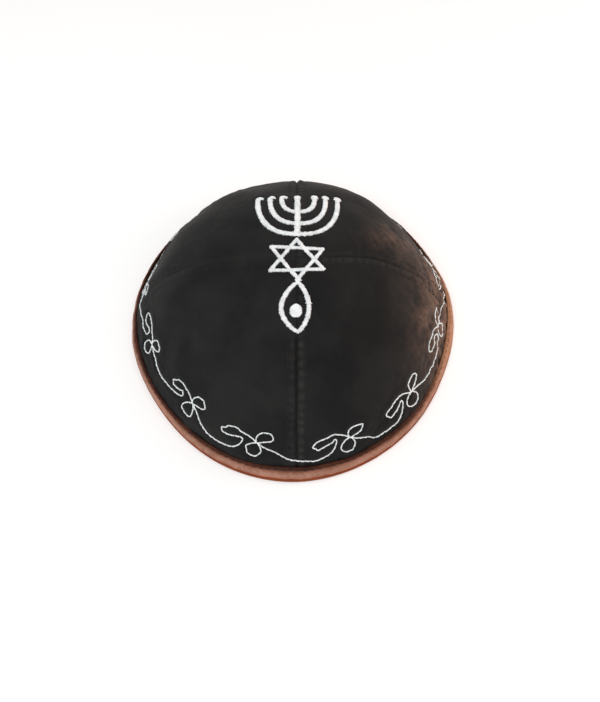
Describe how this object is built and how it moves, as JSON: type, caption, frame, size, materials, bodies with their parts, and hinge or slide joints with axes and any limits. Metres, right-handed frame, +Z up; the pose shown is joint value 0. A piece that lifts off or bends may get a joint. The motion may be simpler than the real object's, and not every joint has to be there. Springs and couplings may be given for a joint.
{
  "type": "kippah skullcap",
  "caption": "Low domed skullcap of sewn suede gores, with a folded leather edge binding and a raised menorah, star and fish emblem over the crown.",
  "frame": {"origin": "middle of the rim, on the surface that the cap rests on", "axes": "+Z up through the crown, +Y to the back along the longer axis of the oval rim, -Y to the front, +X to the right seen from the front"},
  "size_m": [0.167, 0.1734, 0.0471],
  "materials": {
    "suede": "matt black brushed suede",
    "binding": "brown ribbed leather strip folded over the edge",
    "thread": "silvery white satin stitch"
  },
  "bodies": {
    "root": {"panel_front_left": "suede", "panel_front_right": "suede", "panel_back_left": "suede", "panel_back_right": "suede", "edge_binding": "binding", "emblem_menorah": "thread", "emblem_star": "thread", "emblem_fish": "thread", "emblem_eye": "thread"}
  },
  "joints": []
}
